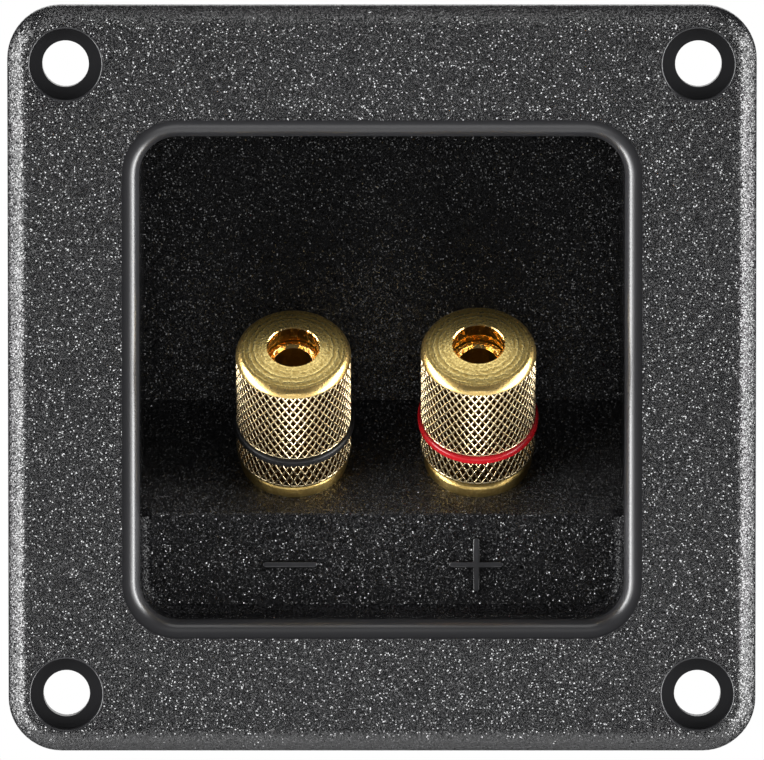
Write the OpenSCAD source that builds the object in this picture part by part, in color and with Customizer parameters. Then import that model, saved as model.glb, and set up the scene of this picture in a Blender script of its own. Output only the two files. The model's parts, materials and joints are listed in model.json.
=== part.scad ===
// Recessed speaker terminal plate: a square moulded plate with a well in its middle, and in the well
// a sloping shelf that carries two turned binding posts, each with a screw-down knurled knob.
// Frame: X to the right, Z up, the front faces -Y. The origin is the middle of the plate's back face,
// the face that lies on the loudspeaker cabinet.

/* [Plate] */
// Width of the plate
plate_w = 77; // [74:0.5:100]
// Height of the plate
plate_h = 77; // [74:0.5:100]
// Thickness of the plate
plate_t = 3; // [2.6:0.1:5]
// Radius of the plate's four corners, seen from the front
plate_corner_r = 5.5; // [3:0.1:8]
// Rounding of the plate's front outer edge
plate_edge_r = 1.7; // [0.5:0.1:2.2]

/* [Screw holes] */
// Distance of each screw hole's centre from the two edges of the plate beside it
hole_inset = 6; // [5.5:0.1:7]
// Diameter of the screw holes
hole_d = 4.8; // [3:0.1:5.5]
// Diameter of the round recess at the mouth of each screw hole
recess_d = 7.4; // [6.5:0.1:8]
// Depth of that recess
recess_depth = 1.2; // [0.4:0.1:2]
// Rounding of that recess's mouth
recess_edge_r = 0.15; // [0.1:0.05:0.3]

/* [Well] */
// Width of the well's mouth between its side walls
well_w = 50; // [46:0.5:51]
// Height of the well's mouth between its top and bottom walls
well_h = 50; // [46:0.5:51]
// Corner radius of the well
well_corner_r = 4; // [2.5:0.1:6]
// Radius of the smooth rounded lip where the plate turns into the well
lip_r = 1.6; // [0.8:0.1:2]
// Flat land around the lip
lip_land = 0.15; // [0.1:0.05:0.5]
// How far the lip and its land lie below the textured face
lip_step = 0.2; // [0.1:0.05:0.4]
// Draft of the well's walls, in degrees
wall_draft = 1; // [0.5:0.1:2]
// Thickness of the well's walls
wall_t = 2; // [1.5:0.1:3]
// Depth of the lower panel behind the plate's front face
panel_depth = 6.5; // [4.5:0.1:9]
// Height of the lower panel from the well's bottom wall to the shelf's front edge
panel_h = 10.5; // [6:0.1:13]
// Length of the sloping shelf, measured along its slope
shelf_len = 15.9; // [14.5:0.1:19]
// Angle of the posts above the horizontal, square to the shelf
post_tilt = 47; // [40:1:52]
// Rounding of the shelf's front edge
nosing_r = 0.5; // [0.2:0.1:1]
// Rounding in the foot of the lower panel, where it meets the well's walls
foot_r = 1.4; // [0.4:0.1:2]

/* [Posts] */
// Distance between the two posts
post_spacing = 19.05; // [17:0.05:24]
// How far the pair of posts stands to the right of the plate's middle
post_offset = 0.4; // [-1:0.1:1]
// Diameter of the collar that rests on the shelf
collar_d = 11.2; // [9.5:0.1:11.8]
// Thickness of the collar
collar_t = 1.7; // [1.2:0.1:3]
// Outer diameter of the threaded barrel
barrel_d = 6; // [5.4:0.1:7]
// Length of the barrel above the collar
barrel_len = 13.2; // [10:0.1:16]
// Bore of the plug socket in the barrel
socket_d = 4; // [3.5:0.1:4.2]
// Metal left between the socket's floor and the collar
socket_floor = 0.5; // [0.4:0.1:3]
// Diameter of the wire hole across the barrel
wire_hole_d = 2.8; // [2:0.1:3.2]
// Height of the wire hole's centre above the collar
wire_hole_height = 2; // [1.8:0.1:3]
// Diameter of the stud behind the shelf
stud_d = 4; // [3:0.1:5]
// Length of the stud behind the front of the shelf
stud_len = 14; // [13:0.1:20]

/* [Knobs] */
// Outer diameter of the knobs
knob_d = 11.9; // [11:0.1:13]
// Space between the barrel's end and the inside of a knob that is screwed down on its collar
cap_gap = 0.55; // [0.3:0.05:1.5]
// Diameter of the hole in the knob's end
knob_hole_d = 5.3; // [4.6:0.1:5.8]
// Thickness of the knob's end, around that hole
knob_end_t = 1.5; // [1.2:0.1:2.5]
// Radius of the slight dome of the knob's end
knob_dome_r = 25; // [15:1:60]
// Rounding of the knob's outer end edge
knob_edge_r = 1; // [0.3:0.1:1.5]
// Plain rim below the knurl at the knob's foot
knob_rim = 0.3; // [0.1:0.05:1]
// Depth of the knurl's diamond pits
knurl_depth = 0.3; // [0.15:0.05:0.4]
// Number of diamonds around the knob
knurl_count = 46; // [24:1:60]
// Angle between the knurl's lines and the knob's axis, in degrees
knurl_angle = 30; // [20:1:40]
// Height of the ring groove's middle above the knob's foot
groove_height = 4; // [2:0.1:6]
// Width of the ring groove
groove_w = 1.1; // [0.8:0.1:2]
// Depth of the ring groove
groove_depth = 0.9; // [0.6:0.1:1.2]
// How far the negative knob is unscrewed from its collar
negative_gap = 0.05; // [0.05:0.05:3]
// How far the positive knob is unscrewed from its collar
positive_gap = 0.5; // [0.05:0.05:3]

/* [Colour rings] */
// How far the colour rings stand out of the knobs
ring_proud = 0.3; // [0.1:0.05:0.5]
// Rounding of the rings' outer edges
ring_edge_r = 0.3; // [0.1:0.05:0.35]

/* [Rear hardware] */
// Outer diameter of the washers
washer_d = 9; // [8:0.1:11]
// Thickness of the washers
washer_t = 0.8; // [0.5:0.1:1.2]
// Width of the nuts across their flats
nut_across_flats = 7; // [6.5:0.1:8]
// Thickness of the nut that holds the post
nut_t = 3.2; // [2.2:0.1:3.5]
// Thickness of the thinner nut that holds the solder tag
tag_nut_t = 2.2; // [1.8:0.1:3.2]
// Thickness of the solder tags
tag_t = 0.8; // [0.5:0.1:1.2]
// Diameter of the solder tag's eye
tag_eye_d = 8; // [7.5:0.1:10]
// Length of the solder tag from the stud to the wire hole in its tip
tag_reach = 11; // [9:0.1:13]
// Width of the solder tag's tip
tag_tip_d = 4; // [3.4:0.1:5]
// Diameter of the wire hole in the solder tag's tip
tag_wire_d = 1.8; // [1:0.1:2.2]

/* [Fits] */
// Radial clearance of the knob on the barrel
knob_fit = 0.06; // [0.02:0.01:0.1]
// Clearance of the ring in its groove, on each face
ring_fit = 0.06; // [0.02:0.01:0.1]
// Radial clearance of the stud in the shelf and in the pieces threaded onto it
stud_fit = 0.1; // [0.05:0.01:0.2]

/* [Hidden] */
$fn = 64;

black_plastic = "#26262a";
gold = "#d9b45a";
black_ring = "#1b1b1d";
red_ring = "#d3202f";
tinned = "#c9c6be";

// Cutters run this far past the faces that they cut
past = 1;
// Chamfer on the small turned edges, and a finer one at the hole in the knob's end
small_chamfer = 0.3;
hole_chamfer = 0.1;
// Turns the seams of the post's round faces away from the planes through its axis and the wire hole
seam_turn = 20;

// The well's section, in plate coordinates: u runs up, v runs forward from the back face
front_v = plate_t;
lip_v = front_v - lip_step - lip_r;
panel_v = front_v - panel_depth;
shelf_rise = shelf_len * cos(post_tilt);
shelf_run = shelf_len * sin(post_tilt);
nosing_u = panel_h - well_h / 2;
back_u = nosing_u + shelf_rise;
back_v = panel_v - shelf_run;
// Shift of the section's corners when it is offset by the wall
wall_shift = wall_t * tan(post_tilt / 2);
// The draft narrows the well towards its back: a wall's place at a height, from a corner's axis
function wall_x(v) = well_corner_r - (lip_v - v) * tan(wall_draft);

hole_u = plate_w / 2 - hole_inset;
hole_w = plate_h / 2 - hole_inset;

// A post's axis starts in the middle of the shelf
post_u = nosing_u + shelf_rise / 2;
post_v = panel_v - shelf_run / 2;
negative_x = post_offset - post_spacing / 2;
positive_x = post_offset + post_spacing / 2;

knob_r = knob_d / 2;
knob_len = barrel_len + cap_gap + knob_end_t;
groove_r = knob_r - groove_depth;
// The knob's dome passes through the rim of its hole, and the rounded edge touches dome and side
dome_z = knob_len - sqrt(pow(knob_dome_r, 2) - pow(knob_hole_d / 2, 2));
edge_z = dome_z + sqrt(pow(knob_dome_r - knob_edge_r, 2) - pow(knob_r - knob_edge_r, 2));
edge_angle = atan2(edge_z - dome_z, knob_r - knob_edge_r);
// The knob's core lies just under the bottoms of the knurl's pits
knurl_lead = 0.1;
knurl_core_r = knob_r - knurl_depth - knurl_lead;
knob_bore_r = barrel_d / 2 + knob_fit;
stud_hole_r = stud_d / 2 + stud_fit;

// Places of the rear pieces along the stud, counted back from the front of the shelf
washer_back = wall_t + washer_t;
nut_back = washer_back + nut_t;
tag_back = nut_back + tag_t;
tag_nut_back = tag_back + tag_nut_t;

// Turns plate coordinates (u to the right, v up, height forward) into the part's frame
module on_plate() {
  rotate([90, 0, 0]) children();
}

// Puts a piece on a post's axis, with its height counted outward from the front of the shelf
module on_post(x) {
  translate([x, -post_v, post_u]) rotate([90 - post_tilt, 0, 0]) children();
}

// A block with rounded corners whose side follows a profile. The profile's x is counted outward from
// the axes of the corners and its y upward; core_low and core_high are its heights at those axes.
module profiled_block(width, height, corner_r, core_low, core_high) {
  straight_w = width - 2 * corner_r;
  straight_h = height - 2 * corner_r;
  translate([-straight_w / 2, -straight_h / 2, core_low])
    cube([straight_w, straight_h, core_high - core_low]);
  for (turn = [0:3]) {
    run_out = (turn % 2 == 0 ? straight_w : straight_h) / 2;
    run_along = turn % 2 == 0 ? straight_h : straight_w;
    rotate([0, 0, 90 * turn]) {
      translate([run_out, 0, 0]) rotate([90, 0, 0]) linear_extrude(run_along, center = true) children();
      translate([run_out, run_along / 2, 0]) rotate_extrude(angle = 90) children();
    }
  }
}

// The plate's edge: square at the back, rounded at the front
module plate_edge_profile() {
  difference() {
    square([plate_corner_r, plate_t]);
    translate([plate_corner_r - plate_edge_r, plate_t - plate_edge_r]) difference() {
      square(plate_edge_r + past);
      circle(plate_edge_r);
    }
  }
}

// A wall of the well with its draft: `outer` moves it outward by the wall's thickness
module well_wall_profile(outer, low_v, high_v) {
  polygon([[0, low_v], [wall_x(low_v) + outer, low_v], [well_corner_r + outer, lip_v],
    [well_corner_r + outer, high_v], [0, high_v]]);
}

// The mouth of the well: the rounded lip, its flat land and the small step up to the textured face
module lip_profile() {
  difference() {
    translate([0, lip_v]) square([well_corner_r + lip_r + lip_land, lip_r + lip_step + past]);
    translate([well_corner_r + lip_r, lip_v]) circle(lip_r);
    translate([well_corner_r + lip_r, lip_v - past]) square([lip_land + past, lip_r + past]);
  }
}

// The pocket down to the lower panel, with its rounded foot
module front_pocket_profile() {
  foot_v = panel_v + foot_r;
  union() {
    difference() {
      well_wall_profile(0, panel_v, front_v - lip_step);
      translate([wall_x(foot_v) - foot_r, foot_v]) difference() {
        translate([0, -foot_r - past]) square(foot_r + past);
        circle(foot_r);
      }
    }
    lip_profile();
  }
}

// The back of the well's body, from the lower panel over the shelf to the back wall, as a bar along X
module body_section() {
  reach_u = plate_h;
  panel_back_v = panel_v - wall_t;
  wall_back_v = back_v - wall_t;
  rotate([90, 0, 90]) linear_extrude(2 * plate_w, center = true)
    polygon([[-reach_u, front_v], [-reach_u, panel_back_v], [nosing_u - wall_shift, panel_back_v],
      [back_u - wall_shift, wall_back_v], [reach_u, wall_back_v], [reach_u, front_v]]);
}

// The space over the shelf and before the back wall, as a bar along X, with the shelf's rounded front edge
module shelf_section() {
  reach_u = plate_h;
  touch = nosing_r * tan(post_tilt / 2);
  round_u = nosing_u - touch;
  round_v = panel_v - nosing_r;
  rotate([90, 0, 90]) linear_extrude(2 * plate_w, center = true) difference() {
    polygon([[round_u, front_v], [round_u, round_v],
      [nosing_u + touch * cos(post_tilt), panel_v - touch * sin(post_tilt)],
      [back_u, back_v], [reach_u, back_v], [reach_u, front_v]]);
    translate([round_u, round_v]) circle(nosing_r);
  }
}

module well_body() {
  low_v = back_v - wall_t;
  intersection() {
    profiled_block(well_w + 2 * wall_t, well_h + 2 * wall_t, well_corner_r + wall_t, low_v, plate_t / 2)
      well_wall_profile(wall_t, low_v, plate_t / 2);
    body_section();
  }
}

module well_cavity() {
  low_v = back_v - past;
  profiled_block(well_w, well_h, well_corner_r, panel_v, front_v + past) front_pocket_profile();
  intersection() {
    profiled_block(well_w, well_h, well_corner_r, low_v, lip_v) well_wall_profile(0, low_v, lip_v);
    shelf_section();
  }
}

// A through hole with a round recess, whose mouth is rounded over onto the plate's face
module screw_hole() {
  floor_v = plate_t - recess_depth;
  mouth_v = plate_t - recess_edge_r;
  mouth_r = recess_d / 2 + recess_edge_r;
  translate([0, 0, -past]) cylinder(d = hole_d, h = plate_t + 2 * past);
  rotate_extrude() difference() {
    translate([0, floor_v]) square([mouth_r, recess_depth + past]);
    translate([mouth_r, mouth_v]) circle(recess_edge_r);
    translate([recess_d / 2, floor_v - past]) square([mouth_r, mouth_v - floor_v + past]);
  }
}

module housing() {
  color(black_plastic) difference() {
    on_plate() difference() {
      union() {
        profiled_block(plate_w, plate_h, plate_corner_r, 0, plate_t) plate_edge_profile();
        well_body();
      }
      well_cavity();
      for (u = [-hole_u, hole_u], w = [-hole_w, hole_w]) translate([u, w, 0]) screw_hole();
    }
    for (x = [negative_x, positive_x])
      on_post(x) translate([0, 0, -wall_t - past]) cylinder(r = stud_hole_r, h = wall_t + 2 * past);
  }
}

// One turned piece: rear stud, collar and hollow barrel, with a wire hole across it
module post() {
  barrel_top = collar_t + barrel_len;
  socket_depth = barrel_len - socket_floor;
  color(gold) difference() {
    rotate(seam_turn) rotate_extrude() difference() {
      union() {
        translate([0, -stud_len]) square([stud_d / 2, stud_len]);
        square([collar_d / 2, collar_t]);
        square([barrel_d / 2, barrel_top]);
      }
      translate([0, barrel_top - socket_depth]) square([socket_d / 2, socket_depth + past]);
      // chamfers: socket's mouth, barrel's end, stud's end and collar's upper edge
      for (corner = [[socket_d / 2, barrel_top], [barrel_d / 2, barrel_top], [stud_d / 2, -stud_len],
          [collar_d / 2, collar_t]])
        translate(corner) rotate(45) square(small_chamfer * sqrt(2), center = true);
    }
    translate([0, 0, collar_t + wire_hole_height]) rotate([0, 90, 0])
      rotate(seam_turn) cylinder(d = wire_hole_d, h = barrel_d + 2 * past, center = true);
  }
}

// A diamond-knurled sleeve between two heights. On a grid of points around it every second point lies in
// the bottom of a pit, and the ridges run along the diagonals that join the others.
module knurled_sleeve(low, high) {
  steps = 2 * knurl_count;
  wanted_row = PI * knob_r / knurl_count / tan(knurl_angle);
  rows = max(2, round((high - low) / wanted_row));
  row_h = (high - low - 2 * knurl_lead) / rows;
  function radius(row, step) = (row + step) % 2 == 0 ? knob_r : knob_r - knurl_depth;
  function around(r, step, z) = [r * cos(360 * step / steps), r * sin(360 * step / steps), z];
  function index(row, step) = row * steps + step % steps;
  points = [
    for (row = [0:rows], step = [0:steps - 1])
      around(radius(row, step), step, low + knurl_lead + row * row_h),
    for (z = [high, low], step = [0:steps - 1]) around(knurl_core_r - knurl_lead, step, z)];
  // the two rings under the surface close the sleeve: rows + 1 at its top and rows + 2 at its foot
  faces = [
    for (row = [0:rows + 2], step = [0:steps - 1])
      let (next = (row + 1) % (rows + 3), a = index(row, step), b = index(row, step + 1),
        c = index(next, step + 1), d = index(next, step))
      each (row + step) % 2 == 0 ? [[a, c, b], [a, d, c]] : [[a, d, b], [b, d, c]]];
  polyhedron(points, faces);
}

// A hollow cap that screws down over the barrel, open at its end for a plug
module knob() {
  groove_low = groove_height - groove_w / 2;
  groove_high = groove_height + groove_w / 2;
  wedge = knob_edge_r + past;
  color(gold) union() {
    rotate_extrude() difference() {
      intersection() {
        square([knob_r, knob_len]);
        translate([0, dome_z]) circle(knob_dome_r);
      }
      translate([knob_r - knob_edge_r, edge_z]) difference() {
        polygon([[0, 0], [wedge, 0], [wedge, wedge], [wedge / tan(edge_angle), wedge]]);
        circle(knob_edge_r);
      }
      translate([0, -past]) square([knob_bore_r, knob_len - knob_end_t + past]);
      square([knob_hole_d / 2, knob_len + past]);
      translate([knurl_core_r, knob_rim]) square([knob_r, edge_z - knob_rim]);
      translate([groove_r, groove_low]) square([groove_depth + past, groove_w]);
      translate([knob_hole_d / 2, knob_len]) rotate(45) square(hole_chamfer * sqrt(2), center = true);
    }
    knurled_sleeve(knob_rim, groove_low);
    knurled_sleeve(groove_high, edge_z);
  }
}

// The coloured ring that lies loose in the knob's groove
module ring(ring_colour) {
  low = groove_height - groove_w / 2 + ring_fit;
  high = groove_height + groove_w / 2 - ring_fit;
  outer_r = knob_r + ring_proud;
  color(ring_colour) rotate_extrude() union() {
    translate([groove_r + ring_fit, low]) square([outer_r - ring_edge_r - groove_r - ring_fit, high - low]);
    translate([groove_r + ring_fit, low + ring_edge_r])
      square([outer_r - groove_r - ring_fit, high - low - 2 * ring_edge_r]);
    for (v = [low + ring_edge_r, high - ring_edge_r])
      translate([outer_r - ring_edge_r, v]) circle(ring_edge_r);
  }
}

module washer() {
  color(gold) translate([0, 0, -washer_back]) difference() {
    cylinder(d = washer_d, h = washer_t);
    translate([0, 0, -past]) cylinder(r = stud_hole_r, h = washer_t + 2 * past);
  }
}

// A hexagon nut whose corners are turned off at both faces
module nut(back, thickness) {
  corner_r = nut_across_flats / 2 / cos(30);
  turned = corner_r - nut_across_flats / 2;
  color(gold) translate([0, 0, -back]) difference() {
    intersection() {
      cylinder(r = corner_r, h = thickness, $fn = 6);
      rotate_extrude() polygon([[0, 0], [corner_r - turned, 0], [corner_r, turned * tan(30)],
        [corner_r, thickness - turned * tan(30)], [corner_r - turned, thickness], [0, thickness]]);
    }
    translate([0, 0, -past]) cylinder(r = stud_hole_r, h = thickness + 2 * past);
  }
}

// A flat stamped tag that points away from the other post: `side` is -1 or 1
module tag(side) {
  color(tinned) translate([0, 0, -tag_back]) linear_extrude(tag_t) difference() {
    union() {
      circle(d = tag_eye_d);
      translate([side * tag_reach / 2, 0]) square([tag_reach, tag_tip_d], center = true);
      translate([side * tag_reach, 0]) circle(d = tag_tip_d);
    }
    circle(r = stud_hole_r);
    translate([side * tag_reach, 0]) circle(d = tag_wire_d);
  }
}

housing();
on_post(negative_x) post();  // negative_post
on_post(negative_x) translate([0, 0, collar_t + negative_gap]) knob();  // negative_knob
on_post(negative_x) translate([0, 0, collar_t + negative_gap]) ring(black_ring);  // negative_ring
on_post(negative_x) washer();  // negative_washer
on_post(negative_x) nut(nut_back, nut_t);  // negative_nut
on_post(negative_x) tag(-1);  // negative_tag
on_post(negative_x) nut(tag_nut_back, tag_nut_t);  // negative_tag_nut
on_post(positive_x) post();  // positive_post
on_post(positive_x) translate([0, 0, collar_t + positive_gap]) knob();  // positive_knob
on_post(positive_x) translate([0, 0, collar_t + positive_gap]) ring(red_ring);  // positive_ring
on_post(positive_x) washer();  // positive_washer
on_post(positive_x) nut(nut_back, nut_t);  // positive_nut
on_post(positive_x) tag(1);  // positive_tag
on_post(positive_x) nut(tag_nut_back, tag_nut_t);  // positive_tag_nut
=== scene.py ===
# %% [markdown]
# # A recessed speaker terminal plate
# The real object is a square black plastic plate with a well in its middle. Two gold binding posts stand
# on a sloping shelf in the well, and each has a knurled knob with a coloured ring. The solids come from
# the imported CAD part. Blender adds the finishes, the fine knurl, the threads and the two signs.

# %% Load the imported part
import json
import math

import bmesh
import bpy
from mathutils import Matrix, Vector

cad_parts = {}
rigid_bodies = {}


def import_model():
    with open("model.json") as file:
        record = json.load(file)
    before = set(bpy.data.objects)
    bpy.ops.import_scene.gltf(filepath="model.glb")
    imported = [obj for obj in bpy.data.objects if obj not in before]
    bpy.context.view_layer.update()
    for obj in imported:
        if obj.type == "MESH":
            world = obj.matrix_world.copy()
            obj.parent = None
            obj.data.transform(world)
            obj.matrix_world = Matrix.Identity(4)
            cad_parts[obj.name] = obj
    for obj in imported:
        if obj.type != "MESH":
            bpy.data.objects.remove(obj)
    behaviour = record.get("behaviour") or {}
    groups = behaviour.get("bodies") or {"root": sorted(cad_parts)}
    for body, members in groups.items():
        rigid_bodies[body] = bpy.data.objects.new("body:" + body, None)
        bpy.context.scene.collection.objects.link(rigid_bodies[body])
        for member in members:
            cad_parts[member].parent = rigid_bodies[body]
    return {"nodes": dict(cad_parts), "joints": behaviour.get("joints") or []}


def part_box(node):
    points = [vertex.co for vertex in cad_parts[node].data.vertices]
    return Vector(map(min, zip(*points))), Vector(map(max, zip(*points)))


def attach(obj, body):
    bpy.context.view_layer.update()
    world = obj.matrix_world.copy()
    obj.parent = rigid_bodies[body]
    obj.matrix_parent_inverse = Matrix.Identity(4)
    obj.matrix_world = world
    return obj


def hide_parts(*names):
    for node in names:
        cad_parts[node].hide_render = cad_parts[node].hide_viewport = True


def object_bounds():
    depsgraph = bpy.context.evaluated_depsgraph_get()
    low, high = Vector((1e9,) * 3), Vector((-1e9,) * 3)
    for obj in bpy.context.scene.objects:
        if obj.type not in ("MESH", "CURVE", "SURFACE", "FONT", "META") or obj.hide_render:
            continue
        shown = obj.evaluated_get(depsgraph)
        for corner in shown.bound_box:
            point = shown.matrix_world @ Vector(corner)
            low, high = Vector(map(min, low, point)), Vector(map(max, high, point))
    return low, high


for leftover in list(bpy.data.objects):
    bpy.data.objects.remove(leftover)
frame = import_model()
cad_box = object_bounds()
MM = 0.001

# %% [markdown]
# ## Where the posts stand
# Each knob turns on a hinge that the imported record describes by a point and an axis. The point is the
# middle of the collar's upper face, so it also tells where the post and its knob go. A matrix per side
# takes a piece that is modelled upright around Z and puts it on its post. Reading the record is safer than
# typing the slope again, because the pieces then follow the CAD part.

# %% Find the two posts
SIDES = ("negative", "positive")
joints = {joint["name"]: joint for joint in frame["joints"]}
post_axis = Vector(joints["negative_screw"]["axis"])
collar_top = {side: Vector(joints[side + "_screw"]["pos_m"]) for side in SIDES}
lean = Vector((0, 0, 1)).rotation_difference(post_axis).to_matrix().to_4x4()
on_post = {side: Matrix.Translation(collar_top[side]) @ lean @ Matrix.Scale(MM, 4) for side in SIDES}
post_spacing = collar_top["positive"].x - collar_top["negative"].x
post_middle = (collar_top["positive"].x + collar_top["negative"].x) / 2
post_rise_deg = math.degrees(math.asin(post_axis.z))
print(f"posts {post_spacing / MM:.2f} mm apart, rising at {post_rise_deg:.1f} degrees")

# %% [markdown]
# ## The camera
# The photograph looks almost straight at the plate, about five degrees from above, and its edges stay
# parallel, so the camera stood far away with a long lens. The lens follows from the width of the view,
# because a sensor of 36 mm sees that width at the camera's distance.

# %% Set the camera
CAMERA_DISTANCE, CAMERA_REACH = 1.5, 20.0
CAMERA_HEIGHT_DEG = 5.0
VIEW_WIDTH = 78.54 * MM
SENSOR_WIDTH = 36.0
plate_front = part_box("housing")[0].y
aim = Vector((0, plate_front, 0))
camera_data = bpy.data.cameras.new("camera")
camera_data.sensor_width = SENSOR_WIDTH
camera_data.lens = SENSOR_WIDTH * CAMERA_DISTANCE / VIEW_WIDTH
camera_data.clip_end = CAMERA_REACH
camera = bpy.data.objects.new("camera", camera_data)
rise = math.radians(CAMERA_HEIGHT_DEG)
camera.location = aim + CAMERA_DISTANCE * Vector((0, -math.cos(rise), math.sin(rise)))
camera.rotation_euler = (math.pi / 2 - rise, 0, 0)
bpy.context.scene.collection.objects.link(camera)
bpy.context.scene.camera = camera
bpy.context.scene.view_settings.view_transform = "Standard"
print(f"lens {camera_data.lens:.0f} mm")

# %% [markdown]
# ## Small helpers for materials
# A colour is written as the sRGB hex value that the eye would pick, and one function turns it into the
# linear values that Blender computes with. Every node is added by one function, which sets the node's own
# settings and then its inputs: an input is either a number or the socket that feeds it.

# %% Helpers for colours and nodes
def linear(hex_colour):
    """The linear values of an sRGB hex colour, by the curve of the sRGB standard."""
    channels = [int(hex_colour[i:i + 2], 16) / 255 for i in (1, 3, 5)]
    return [c / 12.92 if c <= 0.04045 else ((c + 0.055) / 1.055) ** 2.4 for c in channels] + [1.0]


def add_node(tree, kind, inputs=None, **settings):
    node = tree.nodes.new("ShaderNode" + kind)
    for name, value in settings.items():
        setattr(node, name, value)
    for name, value in (inputs or {}).items():
        if isinstance(value, bpy.types.NodeSocket):
            tree.links.new(value, node.inputs[name])
        else:
            node.inputs[name].default_value = value
    return node


def new_material(name):
    material = bpy.data.materials.new(name)
    material.use_nodes = True
    shader = material.node_tree.nodes["Principled BSDF"]
    return material, material.node_tree, shader


def per_metre(size_mm):
    """A texture's scale for features of this size: Object coordinates are in metres."""
    return 1 / (size_mm * MM)


print("a dark grey in linear values:", [round(c, 3) for c in linear("#202020")])

# %% [markdown]
# ## Where the plastic is smooth
# The housing is one moulding, but not all of it has the same surface. The lip of the well and the recesses
# of the screw holes were polished in the mould. The walls just inside the lip are dull. Painting these
# places by hand would need an image, so masks find them instead. They measure Object coordinates: a square
# with round corners follows the lip, and a circle goes around each screw hole.

# %% Masks for the smooth and the dull places
# Millimetres: from the plate's middle to the axes of round corners and holes, and outward from those axes.
LIP_CORNER_AXIS, HOLE_PITCH_HALF = 21.0, 32.5
WALL_INNER, LIP_INNER, LIP_OUTER = 2.8, 3.9, 5.76
RECESS_RADIUS = 3.86
# Millimetres along Y, from the front to the back of what a mask may reach.
FRONT_Y, LIP_BACK_Y, PANEL_BACK_Y = -5.0, -0.5, 4.0


def past_corner(tree, place, corner_mm):
    """How far a point lies past the corner of a square around the plate's middle, along X and Z."""
    folded = add_node(tree, "VectorMath", {0: place}, operation="ABSOLUTE").outputs[0]
    corner = (corner_mm * MM, 0, corner_mm * MM)
    past = add_node(tree, "VectorMath", {0: folded, 1: corner}, operation="SUBTRACT").outputs[0]
    return add_node(tree, "VectorMath", {0: past, 1: (1, 0, 1)}, operation="MULTIPLY").outputs[0]


def outside_square(tree, place, corner_mm):
    """How far a point lies outside that square. Points at one distance form a square with round corners."""
    past = past_corner(tree, place, corner_mm)
    outside = add_node(tree, "VectorMath", {0: past, 1: (0, 0, 0)}, operation="MAXIMUM").outputs[0]
    return add_node(tree, "VectorMath", {0: outside}, operation="LENGTH").outputs["Value"]


def is_between(tree, distance, low_mm, high_mm):
    middle = (low_mm + high_mm) / 2 * MM
    reach = (high_mm - low_mm) / 2 * MM
    return add_node(tree, "Math", {0: distance, 1: middle, 2: reach}, operation="COMPARE").outputs[0]


def surface_masks(tree, place):
    """Two masks: 1 on the polished lip and recesses, and 1 on the dull walls just inside the lip."""
    around_well = outside_square(tree, place, LIP_CORNER_AXIS)
    past_hole = past_corner(tree, place, HOLE_PITCH_HALF)
    from_hole = add_node(tree, "VectorMath", {0: past_hole}, operation="LENGTH").outputs["Value"]
    lip = is_between(tree, around_well, LIP_INNER, LIP_OUTER)
    recess = is_between(tree, from_hole, 0, RECESS_RADIUS)
    either = add_node(tree, "Math", {0: lip, 1: recess}, operation="MAXIMUM").outputs[0]
    wall = is_between(tree, around_well, WALL_INNER, LIP_INNER)
    depth = add_node(tree, "SeparateXYZ", {0: place}).outputs["Y"]
    on_front = is_between(tree, depth, FRONT_Y, LIP_BACK_Y)
    above_panel = is_between(tree, depth, FRONT_Y, PANEL_BACK_Y)
    smooth = add_node(tree, "Math", {0: either, 1: on_front}, operation="MULTIPLY").outputs[0]
    dull = add_node(tree, "Math", {0: wall, 1: above_panel}, operation="MULTIPLY").outputs[0]
    return smooth, dull


print(f"polished lip {LIP_OUTER - LIP_INNER:.2f} mm wide")

# %% [markdown]
# ## The grain of a spark-eroded mould
# The mould was eroded by sparks, so the plastic is covered in tiny facets that lean every way, and a facet
# that happens to face a lamp throws a bright speck. A Voronoi texture splits the surface into cells and
# gives each a random colour, which serves here as the lean of its facet. Most facets lean gently, and a high
# power of the lean makes a few of them steep. A plain noise bump would give soft lumps without specks. The
# same bump carries the soft shoulder that leads from the plate's face to its rounded edge.

# %% Heights of the facets and the shoulder
# The real grain is finer than a pixel, so its facets are drawn about one pixel wide.
FACET_MM = 0.11
GENTLE_SLOPE, STEEP_SLOPE, STEEP_POWER = 0.25, 0.7, 13
PLATE_CORNER_AXIS = 33.0
SHOULDER_BEGIN, SHOULDER_END, SHOULDER_SLOPE = 3.2, 5.1, 0.45


def shoulder_height(tree, place):
    """The height in metres of the soft shoulder along the plate's edge: half a cosine wave."""
    outward = outside_square(tree, place, PLATE_CORNER_AXIS)
    begin, end = SHOULDER_BEGIN * MM, SHOULDER_END * MM
    half_turn = add_node(tree, "MapRange", {"Value": outward, "From Min": begin, "From Max": end,
                                            "To Max": math.pi}).outputs["Result"]
    wave = add_node(tree, "Math", {0: half_turn}, operation="COSINE").outputs[0]
    amplitude = SHOULDER_SLOPE * (end - begin) / math.pi
    return add_node(tree, "Math", {0: wave, 1: amplitude}, operation="MULTIPLY").outputs[0]


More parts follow.
